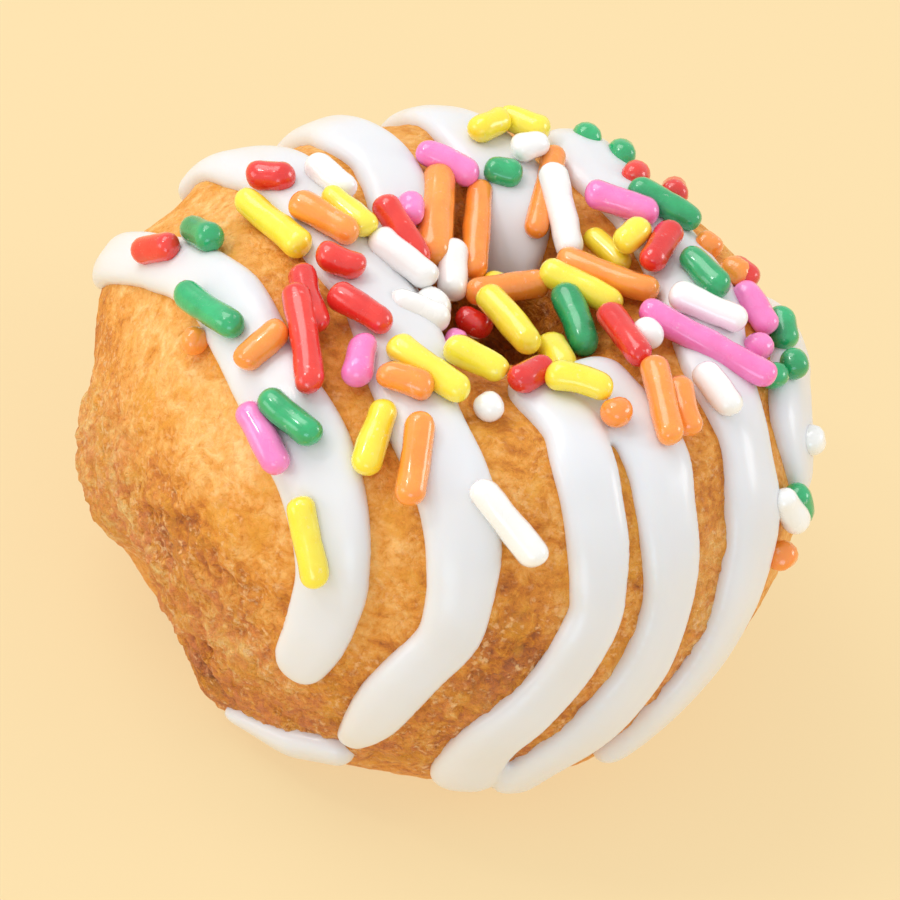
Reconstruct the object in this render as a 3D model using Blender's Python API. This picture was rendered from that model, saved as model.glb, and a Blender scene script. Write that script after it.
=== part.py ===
"""A mini ring doughnut with white drizzled icing and sprinkles, one fused solid.

Metres, +Z up. It stands on its flat foot at z = 0, with the middle of its outline over the origin.
A place on the dough is an azimuth about the ring's axis (0 at +X, 270 at the front, -Y) and a
section angle round the ring's thickness (0 at the outer equator, 90 at the crest, 180 in the hole).
"""
import math
import random

import bmesh
import bpy
from mathutils import Matrix, Vector, noise

MM = 0.001

# The ring of dough, in millimetres
RING_CENTRE = (0.95, -0.6)
RING_RADIUS = 12.6
RING_HEIGHT = 12.3
HALF_HEIGHT = 14.1
OUTER_HALF_WIDTH = 9.4
INNER_HALF_WIDTH = 9.1
OUTER_ROUNDNESS = 2.0
INNER_ROUNDNESS = 3.5
HOLE_SHIFT = 0.6
UNEVEN_HEIGHT = 0.35
UNEVEN_SIZE = 7.0
CRAG_HEIGHT = 0.3
CRAG_SIZE = 3.0
CRAG_PATCH = (215, -22, 42, 38)
AZIMUTH_STEPS = 64
SECTION_STEPS = 28

# Bulges and hollows of the dough: azimuth, section angle, their spreads in degrees, height in mm
BULGES = (
    (176, 14, 16, 20, 1.6),
    (188, 2, 8, 10, -0.15),
    (196, -14, 12, 18, 0.9),
    (209, -22, 8, 12, 0.5),
    (218, -28, 7, 12, -0.75),
    (222, -39, 15, 23, -1.5),
    (243, -44, 8, 14, 0.6),
    (278, -44, 12, 14, -0.9),
    (309, -42, 6, 10, -0.4),
    (334, -20, 18, 26, -0.85),
    (350, 2, 7, 12, -0.4),
    (346, 34, 7, 12, 0.5),
    (5, 48, 8, 12, 0.35),
    (22, 66, 9, 14, 0.6),
    (80, 70, 6, 12, 0.4),
    (100, 58, 44, 36, -0.85),
    (126, 52, 6, 16, -0.6),
    (145, 48, 12, 20, -0.65),
    (162, 42, 7, 14, 0.8),
    (168, 27, 7, 10, -0.5),
)

# The space kept clear down the hole, in millimetres, as the half side of a square
HOLE_CLEAR = 2.2
HOLE_CHECKS = 20

# The icing, in millimetres, and its section as shares of half width and of height or depth
ICING_HEIGHT = 1.1
ICING_DEPTH = 0.8
ICING_STATION = 2.4
ICING_END_STATIONS = (0.08, 0.4, 0.9)
CURVE_PARTS = 8
ICING_SECTION = (
    (-1.0, -0.15),
    (-0.8, 0.62),
    (-0.4, 0.95),
    (0.4, 0.95),
    (0.8, 0.62),
    (1.0, -0.15),
    (0.6, -0.75),
    (-0.6, -0.75),
)

# Centre line of each icing stripe: azimuth, section angle, half width in mm
ICING_STRIPES = (
    ((172, 10, 1.7), (175, 15, 1.9), (179.5, 24, 1.9), (187, 40, 1.9), (196, 54, 2.0), (207, 63, 2.2),
     (220, 64, 2.4), (233, 61, 2.5), (245, 54, 2.6), (254, 42, 2.5), (258.5, 29, 2.3), (259.5, 18, 2.15),
     (259.5, 9, 2.0), (258.5, 0, 1.7), (257.5, -6, 1.4)),
    ((158, 23, 1.6), (159, 40, 2.0), (162, 58, 2.3), (170, 82, 2.45), (187, 103, 2.7), (205, 112, 3.0),
     (224, 112, 2.9), (241, 105, 2.6), (253, 95, 2.5), (263, 82, 2.4), (272, 66, 2.4), (277, 52, 2.35),
     (279, 40, 2.2), (279.5, 30, 2.0), (279, 20, 1.85), (276, 10, 1.8), (273.5, 0, 1.8),
     (271.5, -10, 1.6), (270, -19, 1.1), (269, -25, 0.8)),
    ((271, -32, 1.1), (266, -35, 1.4), (260, -38, 1.3), (254, -41, 1.0), (249, -43, 0.7)),
    ((132, -22, 1.2), (133, -4, 1.3), (135, 10, 1.4), (136.5, 26, 1.5), (138, 42, 1.6), (141, 62, 1.8),
     (143, 80, 2.1), (143, 98, 2.2), (150, 114, 2.2), (166, 126, 2.2), (184, 133, 2.0)),
    ((293, 118, 2.0), (296, 108, 2.1), (299, 98, 2.0), (301, 88, 1.95), (301, 78, 1.95), (301.5, 68, 1.95),
     (302, 58, 1.9), (302.5, 48, 1.85), (302.5, 38, 1.8), (302.5, 30, 1.75), (300.5, 20, 1.8), (298, 10, 1.9),
     (294.5, 0, 1.95), (291, -9, 2.0), (289.5, -19, 2.1), (289.5, -29, 2.1), (290, -38, 1.6)),
    ((118, -32, 1.3), (118, -16, 1.4), (117, -2, 1.5), (116.5, 12, 1.6), (116, 32, 1.8), (115.5, 50, 2.0),
     (115, 66, 2.2), (112, 83, 2.5), (106, 101, 2.6), (98, 117, 2.5), (92, 131, 2.3),
     (89, 141, 2.0), (88, 147, 1.6)),
    ((318, 120, 2.0), (317, 108, 2.3), (318, 94, 2.3), (319, 80, 2.3), (319, 70, 2.3), (318, 60, 2.2),
     (317.5, 50, 2.1), (317, 40, 2.0), (316.5, 30, 1.85), (315, 20, 1.8), (313, 10, 1.9), (310, 0, 2.05),
     (306.5, -10, 2.0), (301.5, -20, 1.75), (299, -29, 1.5), (297.5, -38, 1.35)),
    ((91, -28, 1.4), (88, -8, 1.6), (86, 10, 1.7), (85, 26, 1.8), (84, 44, 2.1), (83, 62, 2.3), (80, 80, 2.5),
     (71, 89, 2.5), (60, 93, 2.3), (46, 96, 2.3), (31, 95, 2.4), (14, 92, 2.5), (0, 87, 2.6), (351, 79, 2.6),
     (346, 70, 2.5), (343, 60, 2.4), (340, 50, 2.35), (337.5, 40, 2.3), (335.5, 30, 2.3), (333, 20, 2.3),
     (331, 10, 2.35), (328, 0, 2.3), (323.5, -10, 2.1), (320.5, -20, 1.65), (318, -28, 1.4), (316, -35, 1.15)),
    ((62, -24, 1.3), (60, -6, 1.5), (52, 10, 1.6), (42, 22, 1.7), (31, 34, 1.8), (21, 44, 2.0), (12, 50, 2.2),
     (5, 50, 2.4), (0, 45, 2.4), (357, 36, 2.1), (354, 27, 1.7)),
)

# The sprinkles, in millimetres
SPRINKLE_RADIUS = 0.92
SPRINKLE_SIDES = 7
SPRINKLE_END = 0.55
HIDDEN_DRAWS = 300
HIDDEN_AZIMUTHS = (45.0, 138.0)
HIDDEN_SECTIONS = (-34.0, -6.0)
HIDDEN_LENGTHS = (3.8, 6.2)
HIDDEN_SPACING = 2.6
HIDDEN_LIFT = 1.45
HIDDEN_REACH = 0.2
HIDDEN_SEED = 11

# Sprinkles that lie on the ring: azimuth and section angle of both tips, height above the dough in mm
LYING_SPRINKLES = (
    (173.5, 68.5, 173.5, 83.5, 1.5), (186.5, 36, 191.5, 51.5, 1.6), (202.5, 94.5, 212.5, 109, 1.7),
    (207, 88, 229, 82, 1.3), (215.5, 82.5, 240, 66.5, 1.9), (220, 92.5, 240, 101, 1.75),
    (168, 112, 195.5, 128.5, 1.7), (283, 102, 298, 112, 1.8), (330.5, 100.5, 350.5, 121, 1.9),
    (21.5, 111.5, 39.5, 96.5, 1.9), (64, 90, 66, 79, 1.15), (53, 82, 58, 72, 1.15), (22, 72, 29, 79, 0.9),
    (186, 53.5, 194.5, 64, 1.4), (203.5, 53, 219.5, 63.5, 1.8), (233.5, 58, 247.5, 57.5, 1.9),
    (95, 113.5, 111.5, 113, 1.4), (40, 85, 61, 97, 1.6), (13.5, 86, 29.5, 97, 1.7), (71, 78, 75, 68, 1.1),
    (80, 76, 83, 68, 0.85), (4, 56, 9, 61, 1.5), (11.5, 59, 20, 63.5, 0.8), (347, 38.5, 348.5, 28, 1),
    (359, 61, 3, 66, 0.9), (211, 48.5, 214.5, 51.5, 0.7), (224.5, 74.5, 225.5, 58, 1.7),
    (183.5, 85.5, 196.5, 109, 1.8), (247.5, 83, 262, 87, 1.75), (262, 78.5, 266.5, 53, 1.8),
    (307, 85.5, 315, 87.5, 1.55), (319.5, 73, 333, 99.5, 2), (327.5, 72.5, 335, 89.5, 1.4),
    (22, 75, 28, 81, 1), (33, 79.5, 39.5, 84, 0.8), (341, 24.5, 345, 21.5, 0.8), (177, 95, 191, 113.5, 1.9),
    (180, 68.5, 200, 91, 1.2), (249.5, 43, 258, 25.5, 1.7), (253.5, 78.5, 257, 55.5, 1.3),
    (243.5, 95.5, 270.5, 89, 1.86), (256.5, 110.5, 281.5, 107, 1.6), (294.5, 105.5, 312.5, 93, 2),
    (36, 117.5, 43, 106.5, 1.8), (90.5, 89, 103.5, 82.5, 1.6), (102, 86, 113.5, 97.5, 1.8),
    (165, 84, 171.5, 104, 1.5), (277, 64.5, 291, 46, 1.58), (275, 89.5, 279.5, 98, 0.85),
    (342, 102.5, 346.5, 111.5, 1.6), (340, 69.5, 344, 87.5, 1.5), (90, 97.5, 100, 106.5, 1.9),
    (5, 80, 7.5, 105.5, 1.9), (359.5, 43.5, 1, 35.5, 1.1), (343, 41.5, 346, 29, 1.1),
    (237.5, 92.5, 245, 77, 1.3), (232, 52.5, 245, 45.5, 1.8), (355.5, 66.5, 354.5, 112.5, 2),
    (46, 98.5, 69, 111.5, 1.6), (11.5, 67, 21.5, 77.5, 0.9), (1.5, 74, 7.5, 69.5, 1),
    (114.5, 116, 134, 101.5, 1.3), (153, 117, 169, 122, 1.5),
)

# Sprinkles that lean over the hole's rim: both tips in mm from the ring's axis and the foot
LEANING_SPRINKLES = (
    (3.4, 1.1, 26.6, 6.2, -3.2, 25.9), (-5.8, 7.9, 26.8, -4.4, 0.2, 26), (0.6, 12.4, 27.3, 1, 5.2, 26.2),
    (2.7, 3.8, 26.4, 9.2, 2.4, 27.4), (3.6, -2.8, 25.6, 5.4, -5.8, 26.4), (4, 7.1, 26.2, 7, 4.9, 26.2),
    (0.6, 9.8, 28.2, 3.6, 4.2, 26.3), (-8.3, -0.6, 27.4, -3.8, -2.6, 27),
    (-6.1, -5.1, 26.8, -2.2, -5, 26.5), (-4.6, -3.1, 25.8, -2.4, -3.9, 26),
)

# The colour, roughness and metallic value of the browned dough
DOUGH_COLOUR = (0.71, 0.36, 0.12, 1.0)
DOUGH_ROUGHNESS = 0.55
SHARP_ANGLE = 40.0

# The block that cuts the flat foot, in millimetres
CUTTER_SIDE = 60.0


def clear_scene():
    """Remove every object that the file starts with."""
    for item in list(bpy.data.objects):
        bpy.data.objects.remove(item, do_unlink=True)


def make_dough_material():
    """Golden brown, slightly oily crust."""
    material = bpy.data.materials.new("dough")
    material.use_nodes = True
    shader = material.node_tree.nodes["Principled BSDF"]
    shader.inputs["Base Color"].default_value = DOUGH_COLOUR
    shader.inputs["Roughness"].default_value = DOUGH_ROUGHNESS
    shader.inputs["Metallic"].default_value = 0.0
    return material


def turn_between(angle, other):
    """Smallest turn from one angle to another, in degrees."""
    return (angle - other + 180.0) % 360.0 - 180.0


def patch_weight(azimuth, section, patch):
    """Share from 1 in the middle of a patch of dough down to 0 well outside it."""
    middle, lean, wide, high = patch
    across = turn_between(azimuth, middle) / wide
    along = turn_between(section, lean) / high
    return math.exp(-across ** 2 - along ** 2)


def dough_point(azimuth, section):
    """The place on the dough at an azimuth and a section angle, in millimetres."""
    turn = math.radians(azimuth)
    out = math.cos(math.radians(section))
    up = math.sin(math.radians(section))
    power = INNER_ROUNDNESS if out < 0 else OUTER_ROUNDNESS
    half_width = INNER_HALF_WIDTH if out < 0 else OUTER_HALF_WIDTH
    reach = (abs(out) ** power + abs(up) ** power) ** (-1.0 / power)
    swell = sum(bulge[4] * patch_weight(azimuth, section, bulge[:4]) for bulge in BULGES)
    radius = RING_RADIUS + (half_width * reach + swell) * out
    height = RING_HEIGHT + (HALF_HEIGHT * reach + swell) * up
    inwards = (RING_RADIUS + OUTER_HALF_WIDTH - radius) / (2 * OUTER_HALF_WIDTH)
    shift = HOLE_SHIFT * min(max(inwards, 0.0), 1.0)
    place = Vector((radius * math.cos(turn), radius * math.sin(turn) + shift, height))
    middle = Vector((RING_RADIUS * math.cos(turn), RING_RADIUS * math.sin(turn), RING_HEIGHT))
    lump = UNEVEN_HEIGHT * noise.noise(place / UNEVEN_SIZE)
    lump += CRAG_HEIGHT * patch_weight(azimuth, section, CRAG_PATCH) * noise.noise(place / CRAG_SIZE)
    return place + lump * (place - middle).normalized()


def dough_axes(azimuth, section):
    """Steps on the dough for one degree of azimuth and of section angle, and the way out of it."""
    step = 0.5
    east = dough_point(azimuth + step, section) - dough_point(azimuth - step, section)
    north = dough_point(azimuth, section + step) - dough_point(azimuth, section - step)
    return east, north, east.cross(north).normalized()


def above_dough(azimuth, section, height):
    """The place at a height above the dough, in millimetres."""
    outwards = dough_axes(azimuth, section)[2]
    return dough_point(azimuth, section) + outwards * height


def in_metres(place):
    """A place in millimetres from the ring's axis, as a place in the model."""
    return (place + Vector((RING_CENTRE[0], RING_CENTRE[1], 0.0))) * MM


def object_from(mesh_builder, name, collection):
    """Turn a bmesh into an object with its faces pointing out."""
    bmesh.ops.recalc_face_normals(mesh_builder, faces=mesh_builder.faces)
    mesh = bpy.data.meshes.new(name)
    mesh_builder.to_mesh(mesh)
    mesh_builder.free()
    item = bpy.data.objects.new(name, mesh)
    collection.objects.link(item)
    return item


def make_dough(collection):
    """The ring: a circle spun about the axis, then laid on the dough's own surface."""
    builder = bmesh.new()
    stand = Matrix.Translation((RING_RADIUS, 0.0, 0.0)) @ Matrix.Rotation(math.pi / 2, 4, "X")
    bmesh.ops.create_circle(builder, segments=SECTION_STEPS, radius=1.0, matrix=stand)
    bmesh.ops.spin(
        builder,
        geom=builder.verts[:] + builder.edges[:],
        cent=(0.0, 0.0, 0.0),
        axis=(0.0, 0.0, 1.0),
        angle=2 * math.pi,
        steps=AZIMUTH_STEPS,
        use_merge=True,
    )
    for corner in builder.verts:
        azimuth = math.degrees(math.atan2(corner.co.y, corner.co.x))
        across = math.hypot(corner.co.x, corner.co.y) - RING_RADIUS
        section = math.degrees(math.atan2(corner.co.z, across))
        corner.co = in_metres(dough_point(azimuth, section))
    return object_from(builder, "doughnut", collection)


def unwrapped(rows):
    """The rows with azimuths that don't jump at 360 degrees."""
    out = [Vector(rows[0])]
    for row in rows[1:]:
        step = turn_between(row[0], out[-1][0])
        out.append(Vector((out[-1][0] + step, row[1], row[2])))
    return out


def curve_point(rows, part):
    """A Catmull-Rom curve between the middle two of four rows."""
    before, start, end, after = rows
    slope_start = (end - before) / 2
    slope_end = (after - start) / 2
    cube = part ** 3
    square = part ** 2
    return (
        start * (2 * cube - 3 * square + 1)
        + slope_start * (cube - 2 * square + part)
        + end * (3 * square - 2 * cube)
        + slope_end * (cube - square)
    )


def smooth_path(rows):
    """Close points on a smooth curve through the rows, each with its distance along the dough."""
    rows = unwrapped(rows)
    rows = [2 * rows[0] - rows[1]] + rows + [2 * rows[-1] - rows[-2]]
    fine = []
    for index in range(1, len(rows) - 2):
        for part in range(CURVE_PARTS):
            fine.append(curve_point(rows[index - 1:index + 3], part / CURVE_PARTS))
    fine.append(rows[-2])
    travelled = [0.0]
    for row, following in zip(fine, fine[1:]):
        step = dough_point(following[0], following[1]) - dough_point(row[0], row[1])
        travelled.append(travelled[-1] + step.length)
    return fine, travelled


def station_distances(total, half_width):
    """Distances along a stripe in millimetres: close together at its ends, even between them."""
    near = [share * half_width for share in ICING_END_STATIONS]
    free = total - 2 * near[-1]
    count = max(2, round(free / ICING_STATION))
    between = [near[-1] + free * index / count for index in range(1, count)]
    return near + between + [total - reach for reach in reversed(near)]


def stripe_stations(rows):
    """Stations of a stripe: its row, its way along the dough in degrees, its distance from an end."""
    fine, travelled = smooth_path(rows)
    total = travelled[-1]
    stations = []
    for distance in station_distances(total, rows[0][2]):
        index = max(i for i, gone in enumerate(travelled[:-1]) if gone <= distance)
        share = (distance - travelled[index]) / (travelled[index + 1] - travelled[index])
        row = fine[index].lerp(fine[index + 1], share)
        stations.append((row, fine[index + 1] - fine[index], min(distance, total - distance)))
    return stations


def icing_ring(station):
    """The icing's section at one station, laid across the stripe on the dough."""
    (azimuth, section, half_width), way, from_end = station
    east, north, outwards = dough_axes(azimuth, section)
    side = outwards.cross(east * way[0] + north * way[1]).normalized()
    east_share, north_share = steps_towards(side, east, north)
    rounding = min(from_end / half_width, 1.0)
    fullness = math.sqrt(1.0 - (1.0 - rounding) ** 2)
    ring = []
    for across, rise in ICING_SECTION:
        reach = across * half_width * fullness
        height = rise * ICING_HEIGHT * fullness if rise > 0 else rise * ICING_DEPTH
        ring.append(above_dough(azimuth + reach * east_share, section + reach * north_share, height))
    return ring


def steps_towards(side, east, north):
    """Degrees of azimuth and of section angle that move one millimetre sideways on the dough."""
    along_east = east.dot(east)
    along_north = north.dot(north)
    mixed = east.dot(north)
    to_east = side.dot(east)
    to_north = side.dot(north)
    scale = along_east * along_north - mixed ** 2
    east_share = (to_east * along_north - to_north * mixed) / scale
    north_share = (to_north * along_east - to_east * mixed) / scale
    return east_share, north_share


def make_icing_stripe(stations, name, collection):
    """A stripe of drizzled icing: a straight tube, closed at its ends, then laid on the dough."""
    rings = [icing_ring(station) for station in stations]
    sides = len(ICING_SECTION)
    builder = bmesh.new()
    bmesh.ops.create_circle(builder, segments=sides, radius=1.0)
    bmesh.ops.spin(
        builder,
        geom=builder.verts[:] + builder.edges[:],
        dvec=(0.0, 0.0, 1.0),
        axis=(0.0, 0.0, 1.0),
        steps=len(rings) - 1,
    )
    bmesh.ops.holes_fill(builder, edges=[edge for edge in builder.edges if edge.is_boundary])
    for corner in builder.verts:
        turn = math.atan2(corner.co.y, corner.co.x) / (2 * math.pi)
        place = rings[round(corner.co.z)][round(turn * sides) % sides]
        corner.co = in_metres(place)
    return object_from(builder, name, collection)


def make_sprinkle(tip, other_tip, name, collection):
    """A short rod with blunt pointed ends, from one tip to the other."""
    builder = bmesh.new()
    run = other_tip - tip
    bmesh.ops.create_cone(
        builder,
        cap_ends=True,
        segments=SPRINKLE_SIDES,
        radius1=SPRINKLE_RADIUS * MM,
        radius2=SPRINKLE_RADIUS * MM,
        depth=(run.length - 2 * SPRINKLE_END) * MM,
    )
    ends = [face for face in builder.faces if len(face.verts) == SPRINKLE_SIDES]
    bmesh.ops.poke(builder, faces=ends, offset=SPRINKLE_END * MM)
    turn = run.to_track_quat("Z", "Y").to_matrix().to_4x4()
    middle = Matrix.Translation(in_metres((tip + other_tip) / 2))
    bmesh.ops.transform(builder, matrix=middle @ turn, verts=builder.verts)
    return object_from(builder, name, collection)


def clears_hole(tip, other_tip):
    """Whether a sprinkle stays out of the space kept clear down the hole."""
    keep_out = HOLE_CLEAR + SPRINKLE_RADIUS
    for part in range(HOLE_CHECKS + 1):
        place = tip.lerp(other_tip, part / HOLE_CHECKS)
        if abs(place.x) < keep_out and abs(place.y - HOLE_SHIFT) < keep_out:
            return False
    return True


def seen_sprinkles():
    """Tips of the sprinkles that lie on the ring or lean over its rim."""
    tips = []
    for azimuth, section, other_azimuth, other_section, lift in LYING_SPRINKLES:
        tips.append((above_dough(azimuth, section, lift), above_dough(other_azimuth, other_section, lift)))
    for row in LEANING_SPRINKLES:
        tips.append((Vector(row[:3]), Vector(row[3:])))
    return tips


def on_icing(place, stripes):
    """Whether a place just above the dough has icing under it."""
    for stations in stripes:
        for (azimuth, section, half_width), way, from_end in stations:
            if (dough_point(azimuth, section) - place).length < half_width + HIDDEN_REACH:
                return True
    return False


def hidden_sprinkles(taken, stripes):
    """Tips of the sprinkles scattered on the icing down the back, clear of the ones already there."""
    draw = random.Random(HIDDEN_SEED)
    middles = [(tip + other_tip) / 2 for tip, other_tip in taken]
    tips = []
    for attempt in range(HIDDEN_DRAWS):
        azimuth = draw.uniform(*HIDDEN_AZIMUTHS)
        section = draw.uniform(*HIDDEN_SECTIONS)
        heading = draw.uniform(0.0, math.pi)
        length = draw.uniform(*HIDDEN_LENGTHS)
        east, north = dough_axes(azimuth, section)[:2]
        run = (east.normalized() * math.cos(heading) + north.normalized() * math.sin(heading)) * length / 2
        middle = above_dough(azimuth, section, HIDDEN_LIFT)
        spaced = all((middle - other).length > HIDDEN_SPACING for other in middles)
        if spaced and on_icing(middle, stripes):
            middles.append(middle)
            tips.append((middle - run, middle + run))
    return tips


def fuse(dough, toppings):
    """One Boolean union of the dough with the icing and the sprinkles, applied."""
    union = dough.modifiers.new("fuse", "BOOLEAN")
    union.operation = "UNION"
    union.operand_type = "COLLECTION"
    union.collection = toppings
    union.solver = "EXACT"
    apply_modifiers(dough)
    for item in list(toppings.objects):
        bpy.data.objects.remove(item, do_unlink=True)
    bpy.data.collections.remove(toppings)


def cut_foot(dough, collection):
    """Cut everything below the foot's plane away, which leaves the flat foot."""
    builder = bmesh.new()
    side = CUTTER_SIDE * MM
    bmesh.ops.create_cube(builder, size=side, matrix=Matrix.Translation((0.0, 0.0, -side / 2)))
    cutter = object_from(builder, "foot_cutter", collection)
    cut = dough.modifiers.new("foot", "BOOLEAN")
    cut.operation = "DIFFERENCE"
    cut.object = cutter
    cut.solver = "EXACT"
    apply_modifiers(dough)
    bpy.data.objects.remove(cutter, do_unlink=True)


def apply_modifiers(item):
    """Replace an object's mesh by its evaluated mesh."""
    view = bpy.context.evaluated_depsgraph_get()
    mesh = bpy.data.meshes.new_from_object(item.evaluated_get(view))
    item.modifiers.clear()
    item.data = mesh


def keep_largest_body(item):
    """Drop loose scraps and fill sealed hollows: keep only the largest closed surface."""
    builder = bmesh.new()
    builder.from_mesh(item.data)
    bmesh.ops.triangulate(builder, faces=builder.faces)
    bodies = connected_bodies(builder)
    bodies.sort(key=len)
    extra = [corner for body in bodies[:-1] for corner in body]
    bmesh.ops.delete(builder, geom=extra, context="VERTS")
    builder.to_mesh(item.data)
    builder.free()


def connected_bodies(builder):
    """Lists of the corners that hang together."""
    waiting = set(builder.verts)
    bodies = []
    while waiting:
        seed = waiting.pop()
        body = [seed]
        front = [seed]
        while front:
            corner = front.pop()
            for edge in corner.link_edges:
                other = edge.other_vert(corner)
                if other in waiting:
                    waiting.remove(other)
                    body.append(other)
                    front.append(other)
        bodies.append(body)
    return bodies


def main():
    clear_scene()
    scene_collection = bpy.context.scene.collection
    toppings = bpy.data.collections.new("toppings")
    scene_collection.children.link(toppings)
    dough = make_dough(scene_collection)
    stripes = [stripe_stations(rows) for rows in ICING_STRIPES]
    for number, stations in enumerate(stripes):
        make_icing_stripe(stations, f"stripe_{number}", toppings)
    tips = seen_sprinkles()
    tips += hidden_sprinkles(tips, stripes)
    for number, (tip, other_tip) in enumerate(tips):
        if clears_hole(tip, other_tip):
            make_sprinkle(tip, other_tip, f"sprinkle_{number}", toppings)
    fuse(dough, toppings)
    cut_foot(dough, scene_collection)
    keep_largest_body(dough)
    dough.data.materials.append(make_dough_material())
    dough.data.shade_smooth()
    dough.data.set_sharp_from_angle(angle=math.radians(SHARP_ANGLE))


main()
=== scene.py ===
"""A mini ring doughnut: a rough fried crust, bands of white icing and coloured rod sprinkles.

Lengths are in millimetres until in_metres() puts a place in the model. A place on the dough is
an azimuth about the ring's axis (0 at +X, 270 at the front, -Y) and a section angle round the
ring's thickness (0 at the outer equator, 90 at the crest, 180 in the hole).
"""
import math
import random

import bmesh
import bpy
from mathutils import Matrix, Vector, noise


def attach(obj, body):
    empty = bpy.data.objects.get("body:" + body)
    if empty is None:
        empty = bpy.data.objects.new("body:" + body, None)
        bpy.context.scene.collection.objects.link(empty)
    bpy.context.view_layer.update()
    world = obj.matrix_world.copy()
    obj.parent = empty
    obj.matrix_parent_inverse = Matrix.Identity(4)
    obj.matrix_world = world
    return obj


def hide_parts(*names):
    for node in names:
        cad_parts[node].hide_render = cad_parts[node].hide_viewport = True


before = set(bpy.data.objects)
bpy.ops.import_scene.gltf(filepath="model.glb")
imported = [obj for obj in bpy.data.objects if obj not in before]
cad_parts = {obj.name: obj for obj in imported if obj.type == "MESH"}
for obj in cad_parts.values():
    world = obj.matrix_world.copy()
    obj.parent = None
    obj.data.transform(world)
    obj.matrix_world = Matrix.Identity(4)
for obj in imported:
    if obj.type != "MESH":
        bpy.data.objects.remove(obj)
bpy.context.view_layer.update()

MM = 0.001

# The ring of dough: its centre, and the radius and height of the circle in the middle of it
RING_CENTRE = (0.95, -0.6)
RING_RADIUS = 12.6
RING_HEIGHT = 12.3

# Its section: half its height and width, and its roundness outside and in the hole
HALF_HEIGHT = 14.1
OUTER_HALF_WIDTH = 9.4
INNER_HALF_WIDTH = 9.1
OUTER_ROUNDNESS = 2.0
INNER_ROUNDNESS = 3.5

# How far the hole lies towards the back, and the height and size of the dough's waves
HOLE_SHIFT = 0.6
UNEVEN_HEIGHT = 0.35
UNEVEN_SIZE = 7.0

# Low crags: height and size, and their patch: azimuth, section angle, spreads in degrees
CRAG_HEIGHT = 0.3
CRAG_SIZE = 3.0
CRAG_PATCH = (215, -22, 42, 38)

# Steps of the crust's mesh round the axis, and round the ring's thickness
AZIMUTH_STEPS = 440
SECTION_STEPS = 208

# Bulges and hollows of the dough: azimuth, section angle, their spreads in degrees, height
BULGES = (
    (176, 14, 16, 20, 1.6),
    (188, 2, 8, 10, -0.15),
    (196, -14, 12, 18, 0.9),
    (209, -22, 8, 12, 0.5),
    (218, -28, 7, 12, -0.75),
    (222, -39, 15, 23, -1.5),
    (243, -44, 8, 14, 0.6),
    (278, -44, 12, 14, -0.9),
    (309, -42, 6, 10, -0.4),
    (334, -20, 18, 26, -0.85),
    (350, 2, 7, 12, -0.4),
    (346, 34, 7, 12, 0.5),
    (5, 48, 8, 12, 0.35),
    (22, 66, 9, 14, 0.6),
    (80, 70, 6, 12, 0.4),
    (100, 58, 44, 36, -0.85),
    (126, 52, 6, 16, -0.6),
    (145, 48, 12, 20, -0.65),
    (162, 42, 7, 14, 0.8),
    (168, 27, 7, 10, -0.5),
)

# Fine relief of the crust: size and height in millimetres, and the noise's fade and layers
LUMP_SIZE = 2.4
LUMP_HEIGHT = 0.24
LUMP_FADE = 1.0
LUMP_LAYERS = 2
CRUMB_SIZE = 1.15
CRUMB_HEIGHT = 0.36
CRUMB_FADE = 0.9
CRUMB_LAYERS = 3
LAYER_STEP = 2.0
PIMPLE_SIZE = 0.62
PIMPLE_HEIGHT = 0.13
PIMPLE_TOP = 0.8
PIMPLE_SLOPE = 2.0

# Share of the relief that the smooth crust has
SMOOTH_SHARE = 0.2

# Angles where the crust's mesh is finest, and how strongly its steps are drawn to them
FINE_AZIMUTH = (235.0, 0.42)
FINE_SECTION = (5.0, 0.28)

# Rough patches of the crust: azimuth, section angle, their spreads in degrees, share
ROUGH_PATCHES = (
    (212, -8, 24, 21, 0.95),
    (238, -16, 20, 24, 0.85),
    (262, -30, 34, 24, 0.65),
    (290, 2, 16, 30, 0.6),
    (324, 16, 13, 36, 0.6),
    (168, -20, 24, 24, 0.5),
)

# Folds of the crust: azimuth and section angle of both ends, width and depth in millimetres
FOLDS = (
    (239, 10, 257, 9, 0.55, 0.42),
    (224, 2, 236, 18, 0.6, 0.3),
    (223, 17, 235, 24, 0.45, 0.2),
    (200, 4, 214, 14, 0.5, 0.22),
    (240, -26, 247, -40, 0.7, 0.36),
    (246, -6, 256, -16, 0.4, 0.2),
    (284, 8, 296, 14, 0.5, 0.22),
)

# How far the folds' lines wander in degrees, and the millimetres in a degree of each angle
FOLD_WANDER = (4.0, 7.0)
DEGREE_OF_AZIMUTH = 0.38
DEGREE_OF_SECTION = 0.23

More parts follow.
